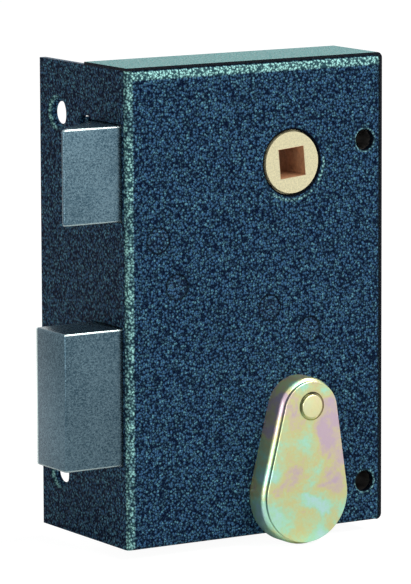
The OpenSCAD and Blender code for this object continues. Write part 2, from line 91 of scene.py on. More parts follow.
def pick(obj, kind, test):
    # selects the vertices, edges or faces that pass the test, then goes back to edit mode
    editMode(obj, kind)
    mesh = obj.data
    items = {"VERT": mesh.vertices, "EDGE": mesh.edges, "FACE": mesh.polygons}[kind]
    count = 0
    for item in items:
        item.select = bool(test(mesh, item))
        count += item.select
    bpy.ops.object.mode_set(mode="EDIT")
    return count


def edgeEnds(mesh, edge):
    a, b = edge.vertices
    return mesh.vertices[a].co, mesh.vertices[b].co


def settle(obj):
    # puts the object's place into its mesh
    makeActive(obj)
    bpy.ops.object.transform_apply(location=True, rotation=True, scale=True)


def outward(obj):
    makeActive(obj)
    bpy.ops.object.mode_set(mode="EDIT")
    bpy.ops.mesh.select_all(action="SELECT")
    bpy.ops.mesh.remove_doubles(threshold=0.000002)
    bpy.ops.mesh.normals_make_consistent(inside=False)
    bpy.ops.object.mode_set(mode="OBJECT")


def applyModifier(obj, kind, **settings):
    makeActive(obj)
    mod = obj.modifiers.new(kind.lower(), kind)
    for key, value in settings.items():
        setattr(mod, key, value)
    bpy.ops.object.modifier_apply(modifier=mod.name)


def cutBy(obj, cutter):
    applyModifier(obj, "BOOLEAN", operation="DIFFERENCE", object=cutter, solver="EXACT")
    bpy.data.objects.remove(cutter)


def smoothBy(obj, degrees):
    makeActive(obj)
    bpy.ops.object.shade_smooth_by_angle(angle=math.radians(degrees))


def barAlongY(at, radius, yFront, yBack, sides=96):
    # round bar with its axis along Y, used as a cutter or as a start
    deselectAll()
    bpy.ops.mesh.primitive_cylinder_add(
        vertices=sides, radius=radius, depth=yBack - yFront,
        location=(at[0], (yFront + yBack) / 2, at[1]), rotation=(math.pi / 2, 0, 0))
    obj = named("bar")
    settle(obj)
    return obj


# camera at the photograph's view; the photograph's frame is 411 by 584 pixels

cameraSetup = {
    "place": (-0.6938, -1.0976, 0.1582),  # metres
    "azimuth": 31.761,
    "elevation": 8.15,
    "roll": -0.201,
    "focalPixels": 4564.0,
    "axisRow": 250.0,
    "frameWidth": 411.0,
    "frameHeight": 584.0,
}


def makeCamera():
    data = bpy.data.cameras.new("camera")
    cam = bpy.data.objects.new("camera", data)
    scene.collection.objects.link(cam)
    c = cameraSetup
    data.sensor_fit = "HORIZONTAL"
    data.sensor_width = 36.0
    data.lens = c["focalPixels"] / c["frameWidth"] * data.sensor_width
    data.shift_y = (c["axisRow"] - c["frameHeight"] / 2) / c["frameWidth"]
    data.clip_start = 0.01
    data.clip_end = 50.0
    turn = Matrix.Rotation(math.radians(-c["azimuth"]), 4, "Z")
    tilt = Matrix.Rotation(math.radians(90 - c["elevation"]), 4, "X")
    roll = Matrix.Rotation(math.radians(c["roll"]), 4, "Z")
    cam.matrix_world = Matrix.Translation(c["place"]) @ turn @ tilt @ roll
    scene.camera = cam
    print("camera placed")


# light and floor

studio = {
    "diffuseLevel": 0.3,
    "floorDrop": 0.0005,
    "floorSize": 6.0,
    "floorTone": (0.78, 0.82),
    "floorNoise": 6.0,
    "glow": 1.16,
    "glowShare": 0.82,
}

# area lights: place from the part's middle in metres, size, power
lamps = {
    "stripLight": ((-1.23, -0.75, 0.16), (0.6, 0.45), 5.0),  # low on the left, for the bend
    "topLight": ((0.63, -0.15, 1.0), (0.5, 0.5), 8.0),  # soft box above, for the shoulder
    "frontLight": ((0.45, -1.25, 1.35), (1.0, 1.0), 24.0),
}


def aimedArea(name, place, aim, size, power):
    data = bpy.data.lights.new(name, "AREA")
    data.shape = "RECTANGLE"
    data.size, data.size_y = size
    data.energy = power
    lamp = bpy.data.objects.new(name, data)
    scene.collection.objects.link(lamp)
    lamp.location = place
    lamp.rotation_euler = (Vector(aim) - Vector(place)).to_track_quat("-Z", "Y").to_euler()
    return lamp


def newMaterial(name):
    material = bpy.data.materials.new(name)
    material.use_nodes = True
    tree = material.node_tree
    tree.nodes.clear()
    out = tree.nodes.new("ShaderNodeOutputMaterial")
    return material, tree, out


def addNode(tree, kind, **settings):
    # a small first letter means a setting of the node, a capital one an input socket
    node = tree.nodes.new(kind)
    for key, value in settings.items():
        if key[0].islower():
            setattr(node, key, value)
        else:
            node.inputs[key].default_value = value
    return node


def calc(tree, operation, a, b=None, c=None, clamp=False):
    # one Math node; a, b and c are sockets or plain numbers
    node = addNode(tree, "ShaderNodeMath", operation=operation, use_clamp=clamp)
    for i, value in enumerate((a, b, c)):
        if value is None:
            continue
        if hasattr(value, "is_output"):
            tree.links.new(value, node.inputs[i])
        else:
            node.inputs[i].default_value = value
    return node.outputs[0]


def blendColors(tree, factor, a, b):
    node = addNode(tree, "ShaderNodeMix", data_type="RGBA")
    sockets = (node.inputs[0], node.inputs[6], node.inputs[7])
    for socket, value in zip(sockets, (factor, a, b)):
        if hasattr(value, "is_output"):
            tree.links.new(value, socket)
        elif isinstance(value, (int, float)):
            socket.default_value = value
        else:
            socket.default_value = (*value, 1.0)
    return node.outputs[2]


def stepBetween(tree, value, low, high, smooth=True):
    node = tree.nodes.new("ShaderNodeMapRange")
    node.interpolation_type = "SMOOTHSTEP" if smooth else "LINEAR"
    tree.links.new(value, node.inputs["Value"])
    node.inputs["From Min"].default_value = low
    node.inputs["From Max"].default_value = high
    return node.outputs["Result"]


def makeStudio():
    low, high = cadBox
    middle = (Vector(low) + Vector(high)) / 2
    s = studio

    world = bpy.data.worlds.new("studio")
    scene.world = world
    world.use_nodes = True
    tree = world.node_tree
    tree.nodes.clear()
    out = tree.nodes.new("ShaderNodeOutputWorld")
    path = tree.nodes.new("ShaderNodeLightPath")
    seen = calc(tree, "MAXIMUM", path.outputs["Is Camera Ray"], path.outputs["Is Transmission Ray"])
    seen = calc(tree, "MAXIMUM", seen, path.outputs["Is Glossy Ray"])
    level = calc(tree, "MULTIPLY_ADD", seen, 1.0 - s["diffuseLevel"], s["diffuseLevel"])
    back = addNode(tree, "ShaderNodeBackground", Color=(1, 1, 1, 1))
    tree.links.new(level, back.inputs["Strength"])
    tree.links.new(back.outputs[0], out.inputs["Surface"])

    deselectAll()
    floorHeight = low[2] - s["floorDrop"]
    bpy.ops.mesh.primitive_plane_add(size=s["floorSize"], location=(middle.x, middle.y, floorHeight))
    floor = named("floor")
    settle(floor)
    material, tree, out = newMaterial("floorPaper")
    path = tree.nodes.new("ShaderNodeLightPath")
    coord = tree.nodes.new("ShaderNodeTexCoord")
    noise = addNode(tree, "ShaderNodeTexNoise", Scale=s["floorNoise"], Detail=2.0)
    tree.links.new(coord.outputs["Object"], noise.inputs["Vector"])
    tone = blendColors(tree, noise.outputs["Fac"], *((level,) * 3 for level in s["floorTone"]))
    paper = addNode(tree, "ShaderNodeBsdfDiffuse", Roughness=0.5)
    tree.links.new(tone, paper.inputs["Color"])
    glow = addNode(tree, "ShaderNodeEmission", Color=(1, 1, 1, 1), Strength=s["glow"])
    mix = tree.nodes.new("ShaderNodeMixShader")
    lit = calc(tree, "MULTIPLY", path.outputs["Is Camera Ray"], s["glowShare"])
    tree.links.new(lit, mix.inputs[0])
    tree.links.new(paper.outputs[0], mix.inputs[1])
    tree.links.new(glow.outputs[0], mix.inputs[2])
    tree.links.new(mix.outputs[0], out.inputs["Surface"])
    floor.data.materials.append(material)

    for name, (offset, size, power) in lamps.items():
        aimedArea(name, middle + Vector(offset), middle, size, power)
    scene.view_settings.view_transform = "Standard"
    print("studio lit")


# shared surface effects

def noiseAt(tree, coord, scale, detail, roughness):
    noise = addNode(tree, "ShaderNodeTexNoise", Scale=scale, Detail=detail, Roughness=roughness)
    tree.links.new(coord, noise.inputs["Vector"])
    return noise.outputs["Fac"]


def newGroup(name, inputs, outputs):
    group = bpy.data.node_groups.new(name, "ShaderNodeTree")
    for label, kind, value in inputs:
        socket = group.interface.new_socket(name=label, in_out="INPUT", socket_type=kind)
        if value is not None:
            socket.default_value = value
    for label, kind in outputs:
        group.interface.new_socket(name=label, in_out="OUTPUT", socket_type=kind)
    return group, group.nodes.new("NodeGroupInput"), group.nodes.new("NodeGroupOutput")


cellShape = {
    "warpScale": 650.0,
    "warp": (0.0006, 0.0006, 0.0006),
    "dot": (0.70, 0.20),
    "strengthGain": 0.8,
    "strengthLeast": 0.45,
    "fineScale": 3000.0,
    "fineGain": 0.5,
    "fineDrop": -0.22,
}


def makeHammerCells():
    # hammer enamel: rounded dots of flake in dark paint, each dot with its own strength and tint
    group, src, dst = newGroup(
        "hammerCells",
        [("Vector", "NodeSocketVector", None), ("Cell Scale", "NodeSocketFloat", 900.0)],
        [("Tone", "NodeSocketFloat"), ("Tint", "NodeSocketFloat"), ("Height", "NodeSocketFloat")])
    links = group.links
    c = cellShape
    warpNoise = addNode(group, "ShaderNodeTexNoise", Scale=c["warpScale"], Detail=1.0)
    links.new(src.outputs["Vector"], warpNoise.inputs["Vector"])
    warp = addNode(group, "ShaderNodeVectorMath", operation="MULTIPLY_ADD")
    warp.inputs[1].default_value = c["warp"]
    links.new(warpNoise.outputs["Color"], warp.inputs[0])
    links.new(src.outputs["Vector"], warp.inputs[2])
    cells = addNode(group, "ShaderNodeTexVoronoi", feature="F1", Randomness=0.9)
    links.new(warp.outputs[0], cells.inputs["Vector"])
    links.new(src.outputs["Cell Scale"], cells.inputs["Scale"])
    dot = stepBetween(group, cells.outputs["Distance"], *c["dot"])
    split = group.nodes.new("ShaderNodeSeparateColor")
    links.new(cells.outputs["Color"], split.inputs[0])
    strength = calc(group, "MULTIPLY_ADD", split.outputs["Red"], c["strengthGain"], c["strengthLeast"])
    fine = noiseAt(group, src.outputs["Vector"], c["fineScale"], 2.0, 0.6)
    fine = calc(group, "MULTIPLY_ADD", fine, c["fineGain"], c["fineDrop"])
    tone = calc(group, "ADD", calc(group, "MULTIPLY", dot, strength), fine, clamp=True)
    links.new(tone, dst.inputs["Tone"])
    links.new(split.outputs["Green"], dst.inputs["Tint"])
    links.new(dot, dst.inputs["Height"])
    return group


grainShape = {
    "stainScale": 60.0,
    "speckScale": 2600.0,
    "shares": (0.45, 0.15, 0.4),  # grain, stain, speck
    "mask": (0.37, 0.63),
}


def makeGroundGrain():
    # fine grinding marks and stains on bare steel
    group, src, dst = newGroup(
        "groundGrain",
        [("Vector", "NodeSocketVector", None), ("Along", "NodeSocketVector", (1.0, 1.0, 1.0)),
         ("Grain Scale", "NodeSocketFloat", 900.0)],
        [("Mask", "NodeSocketFloat"), ("Height", "NodeSocketFloat")])
    links = group.links
    g = grainShape
    stretch = addNode(group, "ShaderNodeVectorMath", operation="MULTIPLY")
    links.new(src.outputs["Vector"], stretch.inputs[0])
    links.new(src.outputs["Along"], stretch.inputs[1])
    grain = addNode(group, "ShaderNodeTexNoise", Detail=4.0, Roughness=0.65)
    links.new(stretch.outputs[0], grain.inputs["Vector"])
    links.new(src.outputs["Grain Scale"], grain.inputs["Scale"])
    stain = noiseAt(group, src.outputs["Vector"], g["stainScale"], 4.0, 0.6)
    speck = noiseAt(group, src.outputs["Vector"], g["speckScale"], 2.0, 0.7)
    mask = calc(group, "MULTIPLY", grain.outputs["Fac"], g["shares"][0])
    mask = calc(group, "MULTIPLY_ADD", stain, g["shares"][1], mask)
    mask = calc(group, "MULTIPLY_ADD", speck, g["shares"][2], mask)
    mask = stepBetween(group, mask, *g["mask"])
    links.new(mask, dst.inputs["Mask"])
    links.new(grain.outputs["Fac"], dst.inputs["Height"])
    return group


filmShape = {
    "cloudScale": 150.0,
    "grainScale": 1100.0,
    "drift": (1.25, -0.13),  # gain and offset of each layer
    "cloud": (0.5, -0.25),
    "grain": (0.3, -0.15),
    "hues": [(0.22, (0.60, 0.46, 0.54)), (0.33, (0.66, 0.56, 0.42)), (0.42, (0.66, 0.64, 0.30)),
             (0.53, (0.58, 0.70, 0.40)), (0.62, (0.44, 0.78, 0.56)), (0.76, (0.50, 0.78, 0.74))],
}


def makePassivation():
    # yellow passivated zinc: thin-film hues drifting from straw to green and rose
    group, src, dst = newGroup(
        "passivation",
        [("Vector", "NodeSocketVector", None), ("Drift", "NodeSocketFloat", 55.0),
         ("Slope", "NodeSocketVector", (0.0, 0.0, 0.0)), ("Start", "NodeSocketFloat", 0.0)],
        [("Color", "NodeSocketColor"), ("Mask", "NodeSocketFloat")])
    links = group.links
    drift = addNode(group, "ShaderNodeTexNoise", Detail=3.0, Roughness=0.55, Distortion=0.6)
    links.new(src.outputs["Vector"], drift.inputs["Vector"])
    links.new(src.outputs["Drift"], drift.inputs["Scale"])
    f = filmShape
    cloud = noiseAt(group, src.outputs["Vector"], f["cloudScale"], 4.0, 0.7)
    grain = noiseAt(group, src.outputs["Vector"], f["grainScale"], 3.0, 0.75)
    film = calc(group, "MULTIPLY_ADD", cloud, *f["cloud"])
    film = calc(group, "ADD", film, calc(group, "MULTIPLY_ADD", drift.outputs["Fac"], *f["drift"]))
    film = calc(group, "ADD", film, calc(group, "MULTIPLY_ADD", grain, *f["grain"]))
    slope = addNode(group, "ShaderNodeVectorMath", operation="DOT_PRODUCT")
    links.new(src.outputs["Vector"], slope.inputs[0])
    links.new(src.outputs["Slope"], slope.inputs[1])
    film = calc(group, "ADD", film, slope.outputs["Value"])
    film = calc(group, "ADD", film, src.outputs["Start"])
    ramp = group.nodes.new("ShaderNodeValToRGB")
    links.new(film, ramp.inputs["Fac"])
    stops = ramp.color_ramp.elements
    for stop, (position, hue) in zip(stops, (f["hues"][0], f["hues"][-1])):
        stop.position = position
        stop.color = (*hue, 1)
    for position, hue in f["hues"][1:-1]:
        stops.new(position).color = (*hue, 1)
    links.new(ramp.outputs["Color"], dst.inputs["Color"])
    links.new(grain, dst.inputs["Mask"])
    return group


groups = {}


def placeGroup(tree, name, coord, **values):
    node = tree.nodes.new("ShaderNodeGroup")
    node.node_tree = groups[name]
    tree.links.new(coord, node.inputs["Vector"])
    for key, value in values.items():
        node.inputs[key.replace("_", " ")].default_value = value
    return node


def principled(tree, out, **values):
    shader = addNode(tree, "ShaderNodeBsdfPrincipled", **values)
    tree.links.new(shader.outputs["BSDF"], out.inputs["Surface"])
    return shader


def bumpInto(tree, shader, height, distance, strength=1.0):
    bump = addNode(tree, "ShaderNodeBump", Strength=strength, Distance=distance)
    tree.links.new(height, bump.inputs["Height"])
    tree.links.new(bump.outputs["Normal"], shader.inputs["Normal"])


def objectPlace(tree):
    # object coordinates, whole and split into x, y and z
    coord = tree.nodes.new("ShaderNodeTexCoord").outputs["Object"]
    split = tree.nodes.new("ShaderNodeSeparateXYZ")
    tree.links.new(coord, split.inputs[0])
    return coord, [split.outputs[axis] for axis in "XYZ"]


# pairs in the looks below are the two ends of a fade; places on the front are (x, z)

enamelLook = {
    "deep": (0.001, 0.003, 0.016),
    "blueFlake": (0.040, 0.112, 0.215),
    "mintFlake": (0.094, 0.250, 0.335),
    "tint": (0.35, 0.85),
    "cellScale": 1380.0,
    "cellDepth": 0.00025,
    "rough": 0.3,
    "specular": 0.015,
    "postSpecular": 0.04,
    "front": (-22.8 * mm, -23.2 * mm),
    "forend": (-53.0 * mm, -53.5 * mm),
    # painted highlight, on the bend and the top shoulder together with thin worn paint: the bend, the top
    # shoulder, the countersinks, the rims and arcs round holes
    "wornAndHighlight": (0.36, 0.72, 0.68),
    "wornAndHighlightDeep": (0.02, 0.06, 0.075),
    "clumpScale": 420.0,
    "clump": (0.40, 0.58),
    "bendLeast": 0.35,
    "bendFront": (-51.8 * mm, -52.5 * mm),
    "bendSide": (-21.1 * mm, -21.6 * mm),
    "shoulder": (25.8 * mm, 26.6 * mm),
    "sinks": [(15.4 * mm, 13.8 * mm), (15.4 * mm, -89.4 * mm)],  # (y, z) on the forend
    "sinkEdge": (5.2 * mm, 4.9 * mm),
    "sinkFar": (-0.5 * mm, 2.5 * mm),
    "sinkLeast": 0.15,
    "screws": [(24.8 * mm, 4.8 * mm), (24.8 * mm, -94.1 * mm)],
    "rim": 3.35 * mm,
    "rimWidth": 0.35 * mm,
    "rimShare": 0.55,
    "hub": (0.0, 0.0),
    "arc": 10.7 * mm,
    "arcWidth": 0.6 * mm,
    "arcUnder": (-7.6 * mm, -8.6 * mm),
    "arcUnderShare": 0.6,
    "arcRight": (8.2 * mm, 8.9 * mm),
    "arcLow": (1.2 * mm, 0.4 * mm),
    "rivets": [(-44.2 * mm, -19.0 * mm), (-38.1 * mm, -32.5 * mm),
               (-7.5 * mm, -40.8 * mm), (5.9 * mm, -48.1 * mm)],
    "rivetArc": 2.8 * mm,
    "rivetArcWidth": 0.4 * mm,
    "rivetArcLean": (0.0, 3.0 * mm),
    "rivetArcShare": 0.8,
    # painted shade: the bores, the gap round the hub, the free side, rings round the riveted ends and,
    # faintly, the forend side
    "shade": (0.002, 0.004, 0.008),
    "screwBore": (3.15 * mm, 3.0 * mm),
    "hubGap": (9.9 * mm, 9.75 * mm),
    "freeSide": (29.0 * mm, 29.6 * mm),
    "freeShare": 0.75,
    "rivetShade": 3.6 * mm,
    "rivetShadeWidth": 0.5 * mm,
    "rivetShadeShare": 0.9,
    "dimSide": (-53.2 * mm, -53.6 * mm),
    "dimShare": 0.25,
    "postPaint": (-21.5 * mm, -22.0 * mm),
    # relief, as shares of the cell depth
    "groove": 3.3 * mm,
    "grooveWidth": 0.45 * mm,
    "grooveDepth": 0.8,
    "fall": (25.8 * mm, 28.8 * mm),
    "fallFront": (-22.6 * mm, -23.0 * mm),
    "fallDepth": 4.0,
}


def farFrom(tree, a, b, centre):
    # distance of a point from a centre, both given by two of their coordinates
    da = calc(tree, "SUBTRACT", a, centre[0])
    db = calc(tree, "SUBTRACT", b, centre[1])
    squares = calc(tree, "ADD", calc(tree, "MULTIPLY", da, da), calc(tree, "MULTIPLY", db, db))
    return calc(tree, "SQRT", squares)


def ringAround(tree, place, centre, radius, width):
    # soft ring round a centre on the front
    x, _, z = place
    off = calc(tree, "SUBTRACT", farFrom(tree, x, z, centre), radius)
    return stepBetween(tree, calc(tree, "ABSOLUTE", off), width, 0.0)


def both(tree, a, b):
    return calc(tree, "MULTIPLY", a, b)


def atLeast(tree, mask, least):
    return calc(tree, "MULTIPLY_ADD", mask, 1 - least, least)


def largest(tree, masks):
    top = masks[0]
    for mask in masks[1:]:
        top = calc(tree, "MAXIMUM", top, mask)
    return top


def enamelPaint(tree, coord):
    # colour of the hammer enamel and the height of its dots
    e = enamelLook
    cells = placeGroup(tree, "hammerCells", coord, Cell_Scale=e["cellScale"])
    tint = stepBetween(tree, cells.outputs["Tint"], *e["tint"])
    flake = blendColors(tree, tint, e["blueFlake"], e["mintFlake"])
    return blendColors(tree, cells.outputs["Tone"], e["deep"], flake), cells.outputs["Height"]


def wornAndHighlightPaint(tree, coord, place):
    # painted highlight, on the bend and the top shoulder together with thin worn paint
    e = enamelLook
    x, y, z = place
    front = stepBetween(tree, y, *e["front"])
    forend = stepBetween(tree, x, *e["forend"])
    clumps = stepBetween(tree, noiseAt(tree, coord, e["clumpScale"], 2.0, 0.6), *e["clump"])
    bend = both(tree, stepBetween(tree, x, *e["bendFront"]), stepBetween(tree, y, *e["bendSide"]))
    masks = [both(tree, bend, atLeast(tree, clumps, e["bendLeast"])),
             both(tree, stepBetween(tree, z, *e["shoulder"]), front)]
    # painted highlight on the far side of each countersink
    for centre in e["sinks"]:
        sink = both(tree, stepBetween(tree, farFrom(tree, y, z, centre), *e["sinkEdge"]), forend)
        far = stepBetween(tree, calc(tree, "SUBTRACT", y, centre[0]), *e["sinkFar"])
        masks.append(both(tree, sink, atLeast(tree, far, e["sinkLeast"])))
    for centre in e["screws"]:
        rim = both(tree, ringAround(tree, place, centre, e["rim"], e["rimWidth"]), front)
        masks.append(both(tree, rim, e["rimShare"]))
    # painted highlight: light arcs under the hub and at its right
    arc = both(tree, ringAround(tree, place, e["hub"], e["arc"], e["arcWidth"]), front)
    under = both(tree, stepBetween(tree, z, *e["arcUnder"]), e["arcUnderShare"])
    right = both(tree, stepBetween(tree, x, *e["arcRight"]), stepBetween(tree, z, *e["arcLow"]))
    masks.append(both(tree, arc, largest(tree, [under, right])))
    # painted highlight: a light arc inside the upper left of each riveted end
    for centre in e["rivets"]:
        ring = both(tree, ringAround(tree, place, centre, e["rivetArc"], e["rivetArcWidth"]), front)
        up = calc(tree, "SUBTRACT", z, centre[1])
        lean = calc(tree, "SUBTRACT", up, calc(tree, "SUBTRACT", x, centre[0]))
        ring = both(tree, ring, stepBetween(tree, lean, *e["rivetArcLean"]))
        masks.append(both(tree, ring, e["rivetArcShare"]))
    return largest(tree, masks)


def paintedShade(tree, place):
    # painted shade: where the enamel lies in a gap or is seen as near black, it is darkened
    e = enamelLook
    x, _, z = place
    masks = [stepBetween(tree, farFrom(tree, x, z, c), *e["screwBore"]) for c in e["screws"]]
    masks.append(stepBetween(tree, farFrom(tree, x, z, e["hub"]), *e["hubGap"]))
    masks.append(both(tree, stepBetween(tree, x, *e["freeSide"]), e["freeShare"]))
    for centre in e["rivets"]:
        ring = ringAround(tree, place, centre, e["rivetShade"], e["rivetShadeWidth"])
        masks.append(both(tree, ring, e["rivetShadeShare"]))
    masks.append(both(tree, stepBetween(tree, x, *e["dimSide"]), e["dimShare"]))
    return largest(tree, masks)


def makeEnamel():
    e = enamelLook
    material, tree, out = newMaterial("hammerEnamel")
    coord, place = objectPlace(tree)
    color, dots = enamelPaint(tree, coord)
    # painted highlight, partly thin worn paint, as a lighter colour over the enamel
    thinAndHighlight = blendColors(tree, dots, e["wornAndHighlightDeep"], e["wornAndHighlight"])
    color = blendColors(tree, wornAndHighlightPaint(tree, coord, place), color, thinAndHighlight)
    # painted shade in the bores, the gap round the hub, on the free side, round the riveted ends and on the
    # forend
    color = blendColors(tree, paintedShade(tree, place), color, e["shade"])
    shader = principled(tree, out, Metallic=0.0, Roughness=e["rough"])
    tree.links.new(color, shader.inputs["Base Color"])
    shader.inputs["Specular IOR Level"].default_value = e["specular"]
    # grooves round the riveted ends, and the sheet falls away towards its pressed top edge
    grooves = largest(tree, [ringAround(tree, place, c, e["groove"], e["grooveWidth"]) for c in e["rivets"]])
    rise = stepBetween(tree, place[2], *e["fall"], smooth=False)
    fall = both(tree, both(tree, rise, rise), stepBetween(tree, place[1], *e["fallFront"]))
    height = calc(tree, "SUBTRACT", dots, both(tree, grooves, e["grooveDepth"]))
    height = calc(tree, "SUBTRACT", height, both(tree, fall, e["fallDepth"]))
    bumpInto(tree, shader, height, e["cellDepth"])
    return material


rimLook = {
    "thinAndHighlight": (-21.5 * mm, -22.3 * mm),
    "thinAndHighlightPaint": (0.20, 0.42, 0.40),
    "thinAndHighlightShare": 0.8,
    "frontEdge": (-22.55 * mm, -22.7 * mm),
    "leftEnd": (-53.7 * mm, -53.9 * mm),
    "top": (29.4 * mm, 29.55 * mm),
    "topReflection": (0.02, 0.26, 0.24),
    "topReflectionShare": 0.7,
    "rough": 0.3,
    "edgeRough": 0.5,
    "specular": 0.15,
}


def makeRimEnamel():
    # same paint on the strip; painted shade on its cut front edge and its left end, thin worn paint with a
    # painted highlight just behind the front edge, and a painted reflection on its top face
    k = rimLook
    material, tree, out = newMaterial("rimEnamel")
    coord, (x, y, z) = objectPlace(tree)
    color, dots = enamelPaint(tree, coord)
    # thin worn paint with a painted highlight behind the front edge, a painted reflection on the top face and
    # painted shade on the front edge and left end
    thinAndHighlight = both(tree, stepBetween(tree, y, *k["thinAndHighlight"]), k["thinAndHighlightShare"])
    top = both(tree, stepBetween(tree, z, *k["top"]), k["topReflectionShare"])
    edge = largest(tree, [stepBetween(tree, y, *k["frontEdge"]), stepBetween(tree, x, *k["leftEnd"])])
    color = blendColors(tree, thinAndHighlight, color, k["thinAndHighlightPaint"])
    color = blendColors(tree, top, color, k["topReflection"])
    color = blendColors(tree, edge, color, enamelLook["shade"])
    shader = principled(tree, out, Metallic=0.0)
    tree.links.new(color, shader.inputs["Base Color"])
    rough = calc(tree, "MULTIPLY_ADD", edge, k["edgeRough"], k["rough"])
    tree.links.new(rough, shader.inputs["Roughness"])
    shader.inputs["Specular IOR Level"].default_value = k["specular"]
    bumpInto(tree, shader, dots, enamelLook["cellDepth"])
    return material


steelLook = {
    "dark": (0.030, 0.075, 0.110),
    "light": (0.170, 0.270, 0.325),
    "deadShare": 0.80,
    "latchShare": 1.08,
    "oiled": ((0.05, 0.05, 0.05), (0.13, 0.12, 0.11)),
    "blued": ((0.03, 0.035, 0.045), (0.10, 0.105, 0.12)),
    "metallic": 0.9,
    "rough": (0.2, 0.32),
    "depth": 0.00002,
    "grainScale": 2000.0,
    "postGrainScale": 900.0,
    # stretch of the grain on ground, plain, drawn and turned steel
    "ground": (0.7, 1.0, 1.0),
    "plain": (1.0, 1.0, 1.0),
    "drawn": (1.0, 0.2, 1.0),
    "turned": (1.0, 0.1, 1.0),
    # painted highlights on the bolts' edges, measured from the block's corners
    "edgeHighlight": (0.72, 0.86, 0.84),
    "farEdge": (-1.1 * mm, -0.7 * mm),
    "tipEdge": (0.8 * mm, 0.4 * mm),
    "topEdge": (-0.6 * mm, -0.35 * mm),
    "frontEdge": (0.5 * mm, 0.3 * mm),
    "bottomEdge": (0.6 * mm, 0.35 * mm),
    "bottomShare": 0.5,
}


def paintedEdgeHighlights(tree, place, low, high):
    # painted highlight: a bolt's far upright edge, its front top edge and its bottom edge are painted bright
    s = steelLook

    def near(value, corner, ends):
        return stepBetween(tree, calc(tree, "SUBTRACT", value, corner), *s[ends])

    x, y, z = place
    far = both(tree, near(y, high.y, "farEdge"), near(x, low.x, "tipEdge"))
    top = both(tree, near(z, high.z, "topEdge"), near(y, low.y, "frontEdge"))
    bottom = both(tree, near(z, low.z, "bottomEdge"), s["bottomShare"])
    return largest(tree, [far, top, bottom])


def makeSteel(name, dark, light, along, rough=steelLook["rough"], metallic=steelLook["metallic"], edges=None):
    s = steelLook
    material, tree, out = newMaterial(name)
    coord, place = objectPlace(tree)
    grain = placeGroup(tree, "groundGrain", coord, Along=along, Grain_Scale=s["grainScale"])
    shader = principled(tree, out, Metallic=metallic)
    color = blendColors(tree, grain.outputs["Mask"], dark, light)
    # painted highlight along the bolts' edges
    if edges:
        color = blendColors(tree, paintedEdgeHighlights(tree, place, *edges), color, s["edgeHighlight"])
    tree.links.new(color, shader.inputs["Base Color"])
    rough = calc(tree, "MULTIPLY_ADD", grain.outputs["Mask"], rough[1] - rough[0], rough[0])
    tree.links.new(rough, shader.inputs["Roughness"])
    bumpInto(tree, shader, grain.outputs["Height"], s["depth"])
    return material


def makeBoltSteel(name, share, node=None):
    # the bolts' ground steel, with its tone scaled and painted highlights on the node's edges
    dark, light = (tuple(v * share for v in steelLook[tone]) for tone in ("dark", "light"))
    return makeSteel(name, dark, light, steelLook["ground"], edges=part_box(node) if node else None)


zincLook = {
    "drift": 85.0,
    "slope": (-2.0, 0.0, -3.5),
    "straw": (0.86, 0.80, 0.44),
    "pinShade": (0.045, 0.050, 0.035),
    "pinShadeIn": (3.3 * mm, 3.4 * mm),
    "pinShadeOut": (4.15 * mm, 4.05 * mm),
    "pinShadeLean": (-1.0 * mm, 3.5 * mm),
    "pinShadeLeast": 0.3,
    "metallic": 0.85,
    "rough": 0.22,
    "roughGain": 0.2,
    "depth": 0.00004,
}


def makeZinc(name, start, shadedPin=False, plain=0.0):
    k = zincLook
    material, tree, out = newMaterial(name)
    coord, (x, _, z) = objectPlace(tree)
    film = placeGroup(tree, "passivation", coord, Drift=k["drift"], Slope=k["slope"], Start=start)
    color = blendColors(tree, plain, film.outputs["Color"], k["straw"])
    if shadedPin:
        # painted shade: a dark ring round the pin, thickest at the upper left
        px, pz = pinCentre()
        reach = farFrom(tree, x, z, (px, pz))
        ring = both(tree, stepBetween(tree, reach, *k["pinShadeIn"]), stepBetween(tree, reach, *k["pinShadeOut"]))
        lean = calc(tree, "SUBTRACT", calc(tree, "SUBTRACT", z, x), pz - px)
        thick = atLeast(tree, stepBetween(tree, lean, *k["pinShadeLean"]), k["pinShadeLeast"])
        color = blendColors(tree, both(tree, ring, thick), color, k["pinShade"])
    shader = principled(tree, out, Metallic=k["metallic"])
    tree.links.new(color, shader.inputs["Base Color"])
    rough = calc(tree, "MULTIPLY_ADD", film.outputs["Mask"], k["roughGain"], k["rough"])
    tree.links.new(rough, shader.inputs["Roughness"])
    bumpInto(tree, shader, film.outputs["Mask"], k["depth"])
    return material


hubLook = {
    "face": (0.72, 0.66, 0.42),
    "faceDark": (0.56, 0.52, 0.33),
    "faceScale": 2000.0,
    "faceSpread": (0.36, 0.62),
    "socket": (0.80, 0.42, 0.20),
    "socketDark": (0.12, 0.05, 0.03),
    "lumpScale": 700.0,
    "lumpDepth": 0.0004,
    "lumpLeast": 0.1,
    "turn": 5.0,
    "socketEdge": (4.27 * mm, 4.17 * mm),
    "metallic": 0.55,
    "rough": 0.42,
    "socketRough": 0.35,
}


